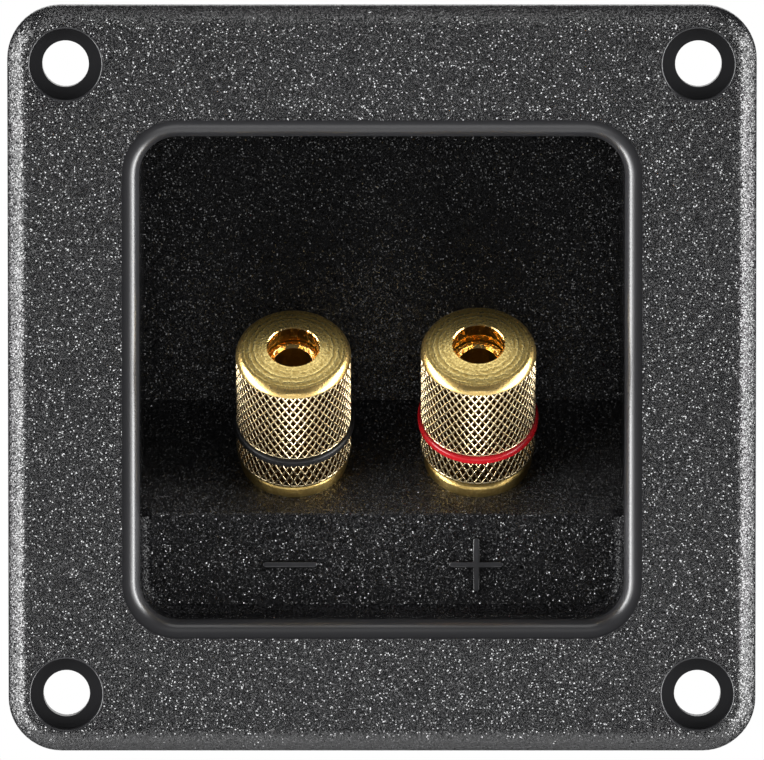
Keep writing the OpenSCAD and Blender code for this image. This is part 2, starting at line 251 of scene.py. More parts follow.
def facet_height(tree, place):
    """The height in metres of a surface of small flat facets, most of them gentle and a few steep."""
    cells = add_node(tree, "TexVoronoi", {"Vector": place, "Scale": per_metre(FACET_MM)}).outputs
    lean_way = add_node(tree, "VectorMath", {0: cells["Color"], 1: (2, 2, 2), 2: (-1, -1, -1)},
                        operation="MULTIPLY_ADD").outputs[0]
    size = add_node(tree, "VectorMath", {0: lean_way}, operation="ABSOLUTE").outputs[0]
    rare = add_node(tree, "VectorMath", {0: size, 1: [STEEP_POWER] * 3}, operation="POWER").outputs[0]
    steepness = add_node(tree, "VectorMath", {0: rare, 1: [STEEP_SLOPE] * 3, 2: [GENTLE_SLOPE] * 3},
                         operation="MULTIPLY_ADD").outputs[0]
    slope = add_node(tree, "VectorMath", {0: lean_way, 1: steepness}, operation="MULTIPLY").outputs[0]
    from_middle = add_node(tree, "VectorMath", {0: place, 1: cells["Position"]},
                           operation="SUBTRACT").outputs[0]
    return add_node(tree, "VectorMath", {0: slope, 1: from_middle}, operation="DOT_PRODUCT").outputs["Value"]


print(f"facets of {FACET_MM} mm, the shoulder {SHOULDER_END - SHOULDER_BEGIN:.1f} mm wide")

# %% [markdown]
# ## Black ABS
# ABS is a tough plastic with a moderate gloss. Black ABS hardly scatters light, so what the eye sees of it
# is mostly the lamps, mirrored by the facets. A noise in the colour paints shade into the hollows between
# the facets, so they are darker still. The polished places have one even tint and a clean streak of light.

# %% Material: black ABS
# Size and range of a colour noise that paints shade into the hollows between the facets.
HOLLOW_SHADE_MM, HOLLOW_SHADE_FROM, HOLLOW_SHADE_TO = 0.2, 0.4, 0.65
FACET_ROUGHNESS, LIP_ROUGHNESS = 0.14, 0.28
OPEN_SPECULAR, WALL_SPECULAR = 0.6, 0.14
ABS_IOR = 1.54
# The heights are in metres, so a height of 1 stands for a whole metre.
BUMP_METRE = 1.0


def make_black_abs():
    """Gives the eye a black ground full of bright specks, and clean streaks on the lip."""
    material, tree, shader = new_material("black_abs_spark_eroded")
    place = add_node(tree, "TexCoord").outputs["Object"]
    smooth, dull = surface_masks(tree, place)
    textured = add_node(tree, "Math", {0: 1.0, 1: smooth}, operation="SUBTRACT").outputs[0]
    heights = {0: facet_height(tree, place), 1: shoulder_height(tree, place)}
    height = add_node(tree, "Math", heights, operation="ADD").outputs[0]
    bump = add_node(tree, "Bump", {"Strength": textured, "Distance": BUMP_METRE, "Height": height})
    # Painted shade: this noise darkens the colour, standing for hollows between facets that hold less light.
    noise = add_node(tree, "TexNoise", {"Vector": place, "Scale": per_metre(HOLLOW_SHADE_MM), "Detail": 1.0})
    painted_hollow_shade = add_node(tree, "MapRange", {"Value": noise.outputs["Fac"], "From Min": HOLLOW_SHADE_FROM,
                                          "From Max": HOLLOW_SHADE_TO}).outputs["Result"]
    tint_with_hollow_shade = add_node(tree, "Mix", {"Factor": painted_hollow_shade, "A": linear("#020203"), "B": linear("#232325")},
                     data_type="RGBA").outputs["Result"]
    tint = add_node(tree, "Mix", {"Factor": smooth, "A": tint_with_hollow_shade, "B": linear("#272729")}, data_type="RGBA")
    polish = add_node(tree, "MapRange", {"Value": smooth, "To Min": FACET_ROUGHNESS,
                                         "To Max": LIP_ROUGHNESS})
    gloss = add_node(tree, "MapRange", {"Value": dull, "To Min": OPEN_SPECULAR, "To Max": WALL_SPECULAR})
    tree.links.new(tint.outputs["Result"], shader.inputs["Base Color"])
    tree.links.new(polish.outputs["Result"], shader.inputs["Roughness"])
    tree.links.new(bump.outputs["Normal"], shader.inputs["Normal"])
    tree.links.new(gloss.outputs["Result"], shader.inputs["Specular IOR Level"])
    shader.inputs["IOR"].default_value = ABS_IOR
    return material


black_abs = make_black_abs()
frame["nodes"]["housing"].material_slots[0].material = black_abs
print("housing wears", black_abs.name)

# %% [markdown]
# ## Gold-plated brass, turned, rolled and bored
# The posts and knobs are brass, turned on a lathe and plated with gold. Turning leaves concentric lines,
# which show where a face lies flat across the axis, as on the knobs' ends, and handling leaves dull spots
# between them. Folding the left half of the plate onto the right one lets a single Mapping node centre those
# circles on both posts. The knurl is rolled: its crests get a pale gold, a painted highlight, and its pits
# are rougher and get a deep brown, a painted shade. A drill leaves the bores wavy, and their gold is painted
# brighter and more orange, a painted light inside the holes. One function makes all of these, and the marks
# in each finish drive its colour, its roughness and its bump together, as a scratch on real plating does.

# %% Material: gold plating
TURNING_LINE_MM = 0.3
MARKS_DULL, MARKS_BRIGHT = 0.3, 0.7
ROUGHNESS_SPREAD = 0.08


def post_coordinates(tree):
    """Coordinates in metres around the nearer post's axis, with Z along it."""
    place = add_node(tree, "TexCoord").outputs["Object"]
    centred = add_node(tree, "VectorMath", {0: place, 1: (post_middle, 0, 0)},
                       operation="SUBTRACT").outputs[0]
    apart = add_node(tree, "SeparateXYZ", {0: centred}).outputs
    fold = add_node(tree, "Math", {0: apart["X"]}, operation="ABSOLUTE").outputs[0]
    folded = add_node(tree, "CombineXYZ", {"X": fold, "Y": apart["Y"], "Z": apart["Z"]}).outputs[0]
    base = Vector((post_spacing / 2, collar_top["negative"].y, collar_top["negative"].z))
    return add_node(tree, "Mapping", {"Vector": folded, "Location": base, "Rotation": lean.to_euler()},
                    vector_type="TEXTURE").outputs["Vector"]


def make_gold(name, dull, bright, line_share, mark_mm, mark_depth, roughness):
    material, tree, shader = new_material(name)
    place = post_coordinates(tree)
    across = add_node(tree, "VectorMath", {0: place, 1: (1, 1, 0)}, operation="MULTIPLY").outputs[0]
    radius = add_node(tree, "VectorMath", {0: across}, operation="LENGTH").outputs["Value"]
    lines = add_node(tree, "TexNoise", {"W": radius, "Scale": per_metre(TURNING_LINE_MM), "Detail": 2.0},
                     noise_dimensions="1D").outputs["Fac"]
    spots = add_node(tree, "TexNoise", {"Vector": place, "Scale": per_metre(mark_mm),
                                        "Detail": 3.0}).outputs["Fac"]
    mixed = add_node(tree, "Mix", {"Factor": line_share, "A": spots, "B": lines}).outputs["Result"]
    marks = add_node(tree, "MapRange", {"Value": mixed, "From Min": MARKS_DULL,
                                        "From Max": MARKS_BRIGHT}).outputs["Result"]
    bump = add_node(tree, "Bump", {"Distance": mark_depth * MM, "Height": marks})
    tint = add_node(tree, "Mix", {"Factor": marks, "A": linear(dull), "B": linear(bright)}, data_type="RGBA")
    sheen = add_node(tree, "MapRange", {"Value": marks, "To Min": roughness + ROUGHNESS_SPREAD,
                                        "To Max": roughness - ROUGHNESS_SPREAD})
    tree.links.new(tint.outputs["Result"], shader.inputs["Base Color"])
    tree.links.new(sheen.outputs["Result"], shader.inputs["Roughness"])
    tree.links.new(bump.outputs["Normal"], shader.inputs["Normal"])
    shader.inputs["Metallic"].default_value = 1.0
    return material


# Turned sides: warm gold with soft lines of light.
gold_turned = make_gold("gold_plated_turned_brass", "#dcb566", "#f4d690",
                        line_share=0.3, mark_mm=0.25, mark_depth=0.01, roughness=0.3)
# Faced ends: clear circles, with darker spots where hands have dulled them.
gold_faced = make_gold("gold_plated_faced_brass", "#b8964a", "#f6e096",
                       line_share=0.35, mark_mm=0.28, mark_depth=0.014, roughness=0.28)
# Satin posts: a wider, softer shine than the knobs have.
gold_satin = make_gold("gold_plated_satin_brass", "#d2ac5c", "#f0d48c",
                       line_share=0.3, mark_mm=0.3, mark_depth=0.02, roughness=0.34)
# Rolled crests: a pale gold, a painted highlight, on thin lines that catch every lamp.
gold_crest_painted_highlight = make_gold("gold_plated_crests_painted_highlight", "#f4dcaa", "#ffeec8",
                       line_share=0.0, mark_mm=0.3, mark_depth=0.006, roughness=0.25)
# Rolled pits: deep brown, a painted shade, so that the crests stand out.
gold_pit_painted_shade = make_gold("gold_plated_pits_painted_shade", "#241604", "#5c3d12",
                     line_share=0.0, mark_mm=0.2, mark_depth=0.010, roughness=0.40)
# Bored walls: wavy, and painted brighter and more orange than the turned gold, a painted light inside the
# holes.
gold_bored_painted_light = make_gold("gold_plated_bored_brass_painted_light", "#f6c468", "#ffe6a8",
                       line_share=0.0, mark_mm=0.6, mark_depth=0.06, roughness=0.16)
print("gold finishes:", [material.name for material in bpy.data.materials if "gold_plated" in material.name])

# %% [markdown]
# ## The colour rings and the solder tags
# The rings that mark the polarity are moulded plastic, glossy red and semi-gloss black. The solder tags
# behind the shelf are stamped brass with a bright tin coat, which is whiter and softer than the plating.
# Their solids are already right, so each keeps its CAD node and only gets its material.

# %% Materials: ring plastics and tinned brass
CLOUD_MM, SKIN_MM, SKIN_DEPTH, SKIN_STRENGTH = 2.0, 0.5, 0.01, 0.5
STREAK_MM, STREAK_SQUEEZE = 0.3, 0.1
TIN_SMOOTH, TIN_ROUGH = 0.25, 0.4


def make_ring_plastic(name, dark, light, roughness):
    """Gives the eye an even colour with a slightly uneven, moulded shine."""
    material, tree, shader = new_material(name)
    place = add_node(tree, "TexCoord").outputs["Object"]
    cloud = add_node(tree, "TexNoise", {"Vector": place, "Scale": per_metre(CLOUD_MM), "Detail": 2.0})
    tint = add_node(tree, "Mix", {"Factor": cloud.outputs["Fac"], "A": linear(dark), "B": linear(light)},
                    data_type="RGBA")
    skin = add_node(tree, "TexNoise", {"Vector": place, "Scale": per_metre(SKIN_MM), "Detail": 2.0})
    bump = add_node(tree, "Bump", {"Strength": SKIN_STRENGTH, "Distance": SKIN_DEPTH * MM,
                                   "Height": skin.outputs["Fac"]})
    tree.links.new(tint.outputs["Result"], shader.inputs["Base Color"])
    tree.links.new(bump.outputs["Normal"], shader.inputs["Normal"])
    shader.inputs["Roughness"].default_value = roughness
    return material


def make_tinned_brass():
    """Gives the eye a whitish metal with long streaks, as rolled strip has."""
    material, tree, shader = new_material("tinned_stamped_brass")
    place = add_node(tree, "TexCoord").outputs["Object"]
    pull = add_node(tree, "Mapping", {"Vector": place, "Scale": (STREAK_SQUEEZE, 1, 1)}).outputs["Vector"]
    streaks = add_node(tree, "TexNoise", {"Vector": pull, "Scale": per_metre(STREAK_MM),
                                          "Detail": 3.0}).outputs["Fac"]
    tint = add_node(tree, "Mix", {"Factor": streaks, "A": linear("#b9b5ac"), "B": linear("#dedbd3")},
                    data_type="RGBA")
    sheen = add_node(tree, "MapRange", {"Value": streaks, "To Min": TIN_SMOOTH, "To Max": TIN_ROUGH})
    tree.links.new(tint.outputs["Result"], shader.inputs["Base Color"])
    tree.links.new(sheen.outputs["Result"], shader.inputs["Roughness"])
    shader.inputs["Metallic"].default_value = 1.0
    return material


red_plastic = make_ring_plastic("red_plastic_glossy", "#ac1018", "#c01b24", roughness=0.26)
black_plastic = make_ring_plastic("black_plastic_semi_gloss", "#060607", "#0d0d0f", roughness=0.45)
tinned_brass = make_tinned_brass()
node_finish = {"negative_ring": black_plastic, "positive_ring": red_plastic}
for side in SIDES:
    node_finish[side + "_tag"] = tinned_brass
    for piece in ("washer", "nut", "tag_nut"):
        node_finish[f"{side}_{piece}"] = gold_turned
for node, material in node_finish.items():
    frame["nodes"][node].material_slots[0].material = material
print("CAD nodes with a finish, the housing included:", len(node_finish) + 1)

# %% [markdown]
# ## Helpers that turn a mesh into a piece
# A turned piece is a profile spun around its axis, as on a lathe. The profile is drawn in millimetres,
# with the collar's upper face at height zero, and the matrix of its post scales and places it. Doubles are
# merged before the normals are made to point outward, and edges sharper than the given angle stay crisp.

# %% Helpers for turned pieces
MERGE_DISTANCE = 0.001


def spun(profile, steps, closed):
    bm = bmesh.new()
    points = [bm.verts.new((radius, 0, height)) for radius, height in profile]
    lines = [bm.edges.new(pair) for pair in zip(points, points[1:])]
    if closed:
        lines.append(bm.edges.new((points[-1], points[0])))
    bmesh.ops.spin(bm, geom=points + lines, cent=(0, 0, 0), axis=(0, 0, 1), angle=math.tau, steps=steps,
                   use_merge=True)
    bmesh.ops.remove_doubles(bm, verts=bm.verts, dist=MERGE_DISTANCE)
    bmesh.ops.recalc_face_normals(bm, faces=bm.faces)
    return bm


def make_piece(bm, name, place, materials, crisp_deg):
    bmesh.ops.transform(bm, matrix=place, verts=bm.verts)
    mesh = bpy.data.meshes.new(name)
    bm.to_mesh(mesh)
    bm.free()
    for material in materials:
        mesh.materials.append(material)
    mesh.shade_smooth()
    mesh.set_sharp_from_angle(angle=math.radians(crisp_deg))
    piece = bpy.data.objects.new(name, mesh)
    bpy.context.scene.collection.objects.link(piece)
    return piece


def steps_between(low, high, count):
    return [low + (high - low) * i / count for i in range(count + 1)]


def from_axis(point):
    """How far a point lies from the axis that pieces are spun around."""
    return math.hypot(*point.xy)


print("points closer than", MERGE_DISTANCE, "mm are merged")

# %% [markdown]
# ## The blank of a knob
# A knob starts as a turned blank: a tube with a slightly domed end, a hole for the plug, a groove for the
# colour ring and a rounded rim. It is spun in as many steps as the knurl has diamonds around it, and the
# rows on its side are as far apart as a diamond is tall, so each face there is ready for the knurl. A bevel
# rounds the rim, which would otherwise need many more points in the profile.

# %% Turn the blank
KNOB_R, KNOB_LEN, KNOB_HOLE_R, KNOB_BORE_R, KNOB_END_T = 5.95, 15.25, 2.65, 3.06, 1.5
DOME_R, DOME_STEPS = 25.0, 6
RIM_OFFSET, RIM_STEPS, RIM_SLACK = 0.78, 6, 0.005
GROOVE_LOW, GROOVE_HIGH, GROOVE_R = 3.45, 4.55, 5.05
KNOB_FOOT, SMALL_CHAMFER = 0.3, 0.1
KNURL_COUNT, ROWS_ABOVE, ROWS_BELOW = 46, 7, 2
# Tolerances in millimetres, and how far up the normals on the knob's end point at least.
SIDE_MARGIN, NEAR = 0.1, 0.01
END_FACING = 0.9
FACE_SLOT, TURNED_SLOT, CREST_HIGHLIGHT_SLOT, PIT_SHADE_SLOT, BORE_SLOT = range(5)


def dome_height(radius):
    centre = KNOB_LEN - math.sqrt(DOME_R ** 2 - KNOB_HOLE_R ** 2)
    return centre + math.sqrt(DOME_R ** 2 - radius ** 2)


RIM_HEIGHT = dome_height(KNOB_R)
KNURL_TOP = RIM_HEIGHT - RIM_OFFSET


def on_side(point):
    """Whether a point lies on the knob's outer side."""
    return from_axis(point) > KNOB_R - SIDE_MARGIN


def knob_profile():
    """From the bore over the domed end and down the side, with the ring's groove in it."""
    hole_edge = KNOB_HOLE_R + SMALL_CHAMFER
    profile = [(KNOB_BORE_R, 0), (KNOB_BORE_R, KNOB_LEN - KNOB_END_T),
               (KNOB_HOLE_R, KNOB_LEN - KNOB_END_T), (KNOB_HOLE_R, KNOB_LEN - SMALL_CHAMFER)]
    profile += [(radius, dome_height(radius)) for radius in steps_between(hole_edge, KNOB_R, DOME_STEPS)]
    profile += [(KNOB_R, height) for height in reversed(steps_between(GROOVE_HIGH, KNURL_TOP, ROWS_ABOVE))]
    profile += [(GROOVE_R, GROOVE_HIGH), (GROOVE_R, GROOVE_LOW)]
    profile += [(KNOB_R, height) for height in reversed(steps_between(KNOB_FOOT, GROOVE_LOW, ROWS_BELOW))]
    return profile + [(KNOB_R, SMALL_CHAMFER), (KNOB_R - SMALL_CHAMFER, 0)]


def blank_slot(face):
    """The finish of a face of the blank: its end, its bore or its outside."""
    if face.normal.z > END_FACING:
        return FACE_SLOT
    # The knob's bore gets the bored gold, which is painted brighter as light inside the hole.
    if from_axis(face.calc_center_median()) < KNOB_BORE_R:
        return BORE_SLOT
    return TURNED_SLOT


def knob_blank():
    bm = spun(knob_profile(), KNURL_COUNT, closed=True)
    for face in bm.faces:
        face.material_index = blank_slot(face)
    rim = [edge for edge in bm.edges
           if all(abs(vert.co.z - RIM_HEIGHT) < NEAR and on_side(vert.co) for vert in edge.verts)]
    rounded = bmesh.ops.bevel(bm, geom=rim, offset=RIM_OFFSET - RIM_SLACK, offset_type="OFFSET",
                              segments=RIM_STEPS, profile=0.5, affect="EDGES", material=-1)
    for face in rounded["faces"]:
        face.material_index = TURNED_SLOT
    return bm


print(f"the side is knurled up to {KNURL_TOP:.2f} mm of {KNOB_LEN} mm")

# %% [markdown]
# ## The knurl
# A knurling wheel presses two families of slanting ridges into the side of the knob, and leaves diamond
# pits between them. Poking each face of the blank's side into four triangles and dissolving the lines of the
# grid joins the triangles two by two into diamonds. A few insets finish each diamond, each steeper than the
# one before, so that the ridge between two pits has a round crest that catches the lamps, and the last one
# drops to the pit's flat floor. The pattern could be a bump, but then it would be missing from the outline
# and from the mesh itself.

# %% Make the knobs
# Insets from the crest to the floor of a pit: width in millimetres and slope in degrees.
CREST_STEPS = ((0.03, 0), (0.035, 25), (0.03, 45))
PIT_STEPS = ((0.03, 60), (0.05, 75))
KNOB_GAP = {"negative": 0.05, "positive": 0.5}
KNOB_FINISHES = [gold_faced, gold_turned, gold_crest_painted_highlight, gold_pit_painted_shade, gold_bored_painted_light]


def side_faces(bm, low, high):
    """The faces on the knob's outer side between two heights."""
    middles = [(face, face.calc_center_median()) for face in bm.faces]
    return [face for face, middle in middles if low < middle.z < high and on_side(middle)]


def press(bm, diamonds, steps, slot):
    """Insets the diamonds step by step, each deeper than the last, and gives the new faces a finish."""
    for width, slope_deg in steps:
        drop = width * math.tan(math.radians(slope_deg))
        inset = bmesh.ops.inset_individual(bm, faces=diamonds, thickness=width, depth=-drop,
                                           use_even_offset=True)
        for face in inset["faces"]:
            face.material_index = slot


def knurl(bm, low, high):
    """Turns the faces of the knob's side between two heights into diamond pits."""
    grid = side_faces(bm, low, high)
    in_grid = set(grid)
    grid_lines = [edge for edge in bm.edges if edge.link_faces and in_grid.issuperset(edge.link_faces)]
    poked = bmesh.ops.poke(bm, faces=grid)
    for vert in poked["verts"]:
        vert.co.xy *= KNOB_R / from_axis(vert.co)
    bmesh.ops.dissolve_edges(bm, edges=grid_lines, use_verts=False)
    diamonds = side_faces(bm, low, high)
    # The crest's insets get the pale gold of a painted highlight, and the pit's insets and floor the deep
    # brown of a painted shade.
    press(bm, diamonds, CREST_STEPS, CREST_HIGHLIGHT_SLOT)
    press(bm, diamonds, PIT_STEPS, PIT_SHADE_SLOT)
    for face in diamonds:
        face.material_index = PIT_SHADE_SLOT
    return len(diamonds)


for side in SIDES:
    bm = knob_blank()
    pits = knurl(bm, KNOB_FOOT, GROOVE_LOW) + knurl(bm, GROOVE_HIGH, KNURL_TOP)
    lifted = on_post[side] @ Matrix.Translation((0, 0, KNOB_GAP[side]))
    knob = make_piece(bm, side + "_knurled_knob", lifted, KNOB_FINISHES, crisp_deg=30)
    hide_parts(side + "_knob")
    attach(knob, side + "_knob")
    print(knob.name, "has", pits, "pits and", len(knob.data.polygons), "faces")

# %% [markdown]
# ## The posts and their threads
# A post is one turned piece: a threaded stud behind the shelf, a plain collar, and a hollow threaded barrel
# with a wire hole across it. The body is spun with many fine rows where a thread goes, and each point there
# moves inward by how far it lies from the crest of the helix. The thread fades out at its ends, as a cut
# thread does. The barrel's end, which shows in the knob's hole, has the bored finish. A Boolean modifier
# drills the wire hole, and its result becomes the mesh.

# %% Turn the posts
COLLAR_R, COLLAR_T, COLLAR_EDGE_R, COLLAR_EDGE_STEPS = 5.6, 1.7, 0.7, 4
BARREL_R, BARREL_LEN, SOCKET_R, SOCKET_FLOOR = 3.0, 13.2, 2.0, 0.5
STUD_R, STUD_LEN, STUD_PLAIN_LEN, END_CHAMFER = 2.0, 14.0, 2.0, 0.3
BARREL_PITCH, STUD_PITCH, THREAD_DEPTH_PER_PITCH = 1.0, 0.7, 0.35
ROWS_PER_TURN, POST_STEPS = 12, 64
BARREL_LOW, BARREL_HIGH = 0.0, BARREL_LEN - END_CHAMFER
STUD_END = -COLLAR_T - STUD_LEN
STUD_LOW, STUD_HIGH = STUD_END + END_CHAMFER, -COLLAR_T - STUD_PLAIN_LEN
BORED_LEN = 4.0
SATIN_SLOT, BORED_SLOT = range(2)


def thread_rows(low, high, pitch):
    """Heights that are close enough together to show a thread of this pitch."""
    return steps_between(low, high, round((high - low) / pitch * ROWS_PER_TURN))


def cut_thread(bm, radius, low, high, pitch):
    depth = THREAD_DEPTH_PER_PITCH * pitch
    for vert in bm.verts:
        if low <= vert.co.z <= high and abs(from_axis(vert.co) - radius) < NEAR:
            turn = (vert.co.z / pitch - math.atan2(vert.co.y, vert.co.x) / math.tau) % 1
            fade = min(1, (vert.co.z - low) / pitch, (high - vert.co.z) / pitch)
            vert.co.xy *= 1 - depth * fade * abs(2 * turn - 1) / radius


def collar_edge():
    """The quarter circle that rounds the collar's upper edge."""
    return [(COLLAR_R - COLLAR_EDGE_R * (1 - math.cos(turn)), COLLAR_EDGE_R * (math.sin(turn) - 1))
            for turn in steps_between(0, math.pi / 2, COLLAR_EDGE_STEPS)]


def post_mesh():
    profile = [(0, STUD_END), (STUD_R - END_CHAMFER, STUD_END)]
    profile += [(STUD_R, height) for height in thread_rows(STUD_LOW, STUD_HIGH, STUD_PITCH)]
    profile += [(STUD_R, -COLLAR_T), (COLLAR_R, -COLLAR_T)]
    profile += collar_edge()
    profile += [(BARREL_R, height) for height in thread_rows(BARREL_LOW, BARREL_HIGH, BARREL_PITCH)]
    profile += [(BARREL_R - END_CHAMFER, BARREL_LEN), (SOCKET_R + END_CHAMFER, BARREL_LEN),
                (SOCKET_R, BARREL_LEN - END_CHAMFER), (SOCKET_R, SOCKET_FLOOR), (0, SOCKET_FLOOR)]
    bm = spun(profile, POST_STEPS, closed=False)
    cut_thread(bm, BARREL_R, BARREL_LOW, BARREL_HIGH, BARREL_PITCH)
    cut_thread(bm, STUD_R, STUD_LOW, STUD_HIGH, STUD_PITCH)
    # Faces near the barrel's end get the bored gold, which is painted brighter as light inside the knob's
    # hole.
    for face in bm.faces:
        is_bored = face.calc_center_median().z > BARREL_LEN - BORED_LEN
        face.material_index = BORED_SLOT if is_bored else SATIN_SLOT
    return bm


for pitch in (BARREL_PITCH, STUD_PITCH):
    print(f"a thread of {pitch} mm pitch is {THREAD_DEPTH_PER_PITCH * pitch:.2f} mm deep")

# %% Drill and place the posts
WIRE_HOLE_R, WIRE_HOLE_HEIGHT = 1.4, 2.0
DRILL_LEN, DRILL_STEPS = 8, 40
POST_FINISHES = [gold_satin, gold_bored_painted_light]


def drill(piece, place):
    """Drills the wire hole across the barrel."""
    bm = bmesh.new()
    across = Matrix.Translation((0, 0, WIRE_HOLE_HEIGHT)) @ Matrix.Rotation(math.pi / 2, 4, "Y")
    bmesh.ops.create_cone(bm, cap_ends=True, segments=DRILL_STEPS, radius1=WIRE_HOLE_R, radius2=WIRE_HOLE_R,
                          depth=DRILL_LEN, matrix=across)
    drill_bit = make_piece(bm, "drill_bit", place, [gold_satin], crisp_deg=40)
    cut = piece.modifiers.new("wire_hole", "BOOLEAN")
    cut.operation = "DIFFERENCE"
    cut.solver = "EXACT"
    cut.object = drill_bit
    drilled = bpy.data.meshes.new_from_object(piece.evaluated_get(bpy.context.evaluated_depsgraph_get()))
    piece.modifiers.clear()
    piece.data = drilled
    bpy.data.objects.remove(drill_bit)


for side in SIDES:
    post = make_piece(post_mesh(), side + "_threaded_post", on_post[side], POST_FINISHES, crisp_deg=40)
    drill(post, on_post[side])
    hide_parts(side + "_post")
    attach(post, "plate")
    print(post.name, "has", len(post.data.polygons), "faces")

# %% [markdown]
# ## The plus and minus signs
# The signs are moulded on the lower panel: smooth bars with round ends that stand a little proud of the
# texture. Both start as a grid of nine faces. The plus loses the grid's corners, and the minus keeps only
# the middle row. Extruding gives the bars their height, and bevels round their ends and edges. Text would
# need a font file, and a bump would not show in the mesh. The tops are painted a paler grey, a painted
# highlight, and the sides nearly black, a painted shade, so each bar has a dark outline.

# %% Material: polished ABS
SIGN_LENGTH, SIGN_WIDTH, SIGN_HEIGHT, SIGN_SINK = 5.7, 0.72, 0.4, 0.1
PANEL_Y = 3.5
# Shares of the sign's height where the painted shade of the sides gives way to the painted light of the top.
SIDE_SHADE_SHARE, TOP_LIGHT_SHARE = 0.88, 0.99
SIGN_SKIN_MM = 0.8
SIGN_SMOOTH, SIGN_ROUGH = 0.12, 0.2


def make_smooth_abs():
    """Gives the eye a grey bar with black sides: the paler top is painted light, the black sides painted
    shade.
    """
    material, tree, shader = new_material("black_abs_polished_painted_light_and_shade")
    place = add_node(tree, "TexCoord").outputs["Object"]
    skin = add_node(tree, "TexNoise", {"Vector": place, "Scale": per_metre(SIGN_SKIN_MM),
                                       "Detail": 2.0}).outputs["Fac"]
    depth = add_node(tree, "SeparateXYZ", {0: place}).outputs["Y"]
    # Painted light and shade: by height over the panel, the sides are painted near black and the top a paler
    # grey.
    side_y, top_y = ((PANEL_Y - share * SIGN_HEIGHT) * MM for share in (SIDE_SHADE_SHARE, TOP_LIGHT_SHARE))
    painted_top_light = add_node(tree, "MapRange", {"Value": depth, "From Min": side_y,
                                         "From Max": top_y}).outputs["Result"]
    top = add_node(tree, "Mix", {"Factor": skin, "A": linear("#343436"), "B": linear("#404042")},
                   data_type="RGBA").outputs["Result"]
    tint = add_node(tree, "Mix", {"Factor": painted_top_light, "A": linear("#040405"), "B": top}, data_type="RGBA")
    polish = add_node(tree, "MapRange", {"Value": skin, "To Min": SIGN_SMOOTH, "To Max": SIGN_ROUGH})
    tree.links.new(tint.outputs["Result"], shader.inputs["Base Color"])
    tree.links.new(polish.outputs["Result"], shader.inputs["Roughness"])
    shader.inputs["IOR"].default_value = ABS_IOR
    return material


shaded_sign_abs = make_smooth_abs()
print("signs wear", shaded_sign_abs.name)

# %% Make the signs
SIGN_ARMS = {"negative": 2, "positive": 4}
SIGN_X = {"negative": -9.51, "positive": 9.75}
SIGN_Z = -19.7
SIGN_EDGE, SIGN_TIP_SHARE, SIGN_ROUND_STEPS = 0.2, 0.95, 5
# A place between the grid's inner and outer lines, and how far up a standing face's normal points at most.
GRID_MIDDLE, STANDING = 0.5, 0.5


def sign_outline(arms):
    """A bar, or a cross of two bars, in XY: the lines of a grid, moved to the bars' sides and ends."""
    half_length, half_width = SIGN_LENGTH / 2, SIGN_WIDTH / 2
    reach = (half_length, half_length if arms == 4 else half_width)
    bm = bmesh.new()
    bmesh.ops.create_grid(bm, x_segments=3, y_segments=3, size=1)
    for vert in bm.verts:
        for axis in (0, 1):
            is_end = abs(vert.co[axis]) > GRID_MIDDLE
            vert.co[axis] = math.copysign(reach[axis] if is_end else half_width, vert.co[axis])
    if arms == 4:
        middles = [(face, face.calc_center_median()) for face in bm.faces]
        corners = [face for face, middle in middles if min(abs(middle.x), abs(middle.y)) > half_width]
        bmesh.ops.delete(bm, geom=corners, context="FACES")
    bmesh.ops.remove_doubles(bm, verts=bm.verts, dist=MERGE_DISTANCE)
    return bm


def is_tip(edge):
    """Whether an edge stands upright at the end of a bar."""
    low, high = (vert.co for vert in edge.verts)
    return abs(low.z - high.z) > SIGN_HEIGHT and max(abs(low.x), abs(low.y)) > SIGN_LENGTH / 2 - NEAR


def is_top_edge(edge):
    """Whether an edge runs around the top of a bar."""
    is_high = min(vert.co.z for vert in edge.verts) > SIGN_HEIGHT
    return is_high and any(abs(face.normal.z) < STANDING for face in edge.link_faces)


def sign_mesh(arms):
    bm = sign_outline(arms)
    raised = bmesh.ops.extrude_face_region(bm, geom=bm.faces[:])
    lifted = [part for part in raised["geom"] if isinstance(part, bmesh.types.BMVert)]
    bmesh.ops.translate(bm, verts=lifted, vec=(0, 0, SIGN_HEIGHT + SIGN_SINK))
    bmesh.ops.recalc_face_normals(bm, faces=bm.faces)
    tips = [edge for edge in bm.edges if is_tip(edge)]
    bmesh.ops.bevel(bm, geom=tips, offset=SIGN_WIDTH / 2 * SIGN_TIP_SHARE, offset_type="OFFSET",
                    segments=SIGN_ROUND_STEPS, profile=0.5, affect="EDGES", material=-1)
    top = [edge for edge in bm.edges if is_top_edge(edge)]
    bmesh.ops.bevel(bm, geom=top, offset=SIGN_EDGE, offset_type="OFFSET", segments=SIGN_ROUND_STEPS,
                    profile=0.5, affect="EDGES", material=-1)
    return bm


facing_front = Matrix.Rotation(math.pi / 2, 4, "X")
for side in SIDES:
    spot = Matrix.Translation(Vector((SIGN_X[side], PANEL_Y + SIGN_SINK, SIGN_Z)) * MM)
    on_panel = spot @ facing_front @ Matrix.Scale(MM, 4)
    sign = make_piece(sign_mesh(SIGN_ARMS[side]), side + "_sign", on_panel, [shaded_sign_abs], crisp_deg=40)
    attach(sign, "plate")
    print(sign.name, "has", len(sign.data.polygons), "faces")

# %% [markdown]
# ## The lamps
# The photograph was lit from far out on the left and right, which leaves bright streaks on the plate's
# sides and on the lip. A narrow tube on each side makes the streaks, and a wide, dimmer sheet lights the
# grain. A small box overhead lights the knobs' ends, and weak ones in front, above and below, keep the shelf
# and the walls of the well from going black. A black card behind each side of the plate, which the camera
# doesn't see, is mirrored in the plate's outermost edge and draws a dark line there against the white.

# %% Light the scene
PAPER_ROUGHNESS = 0.9


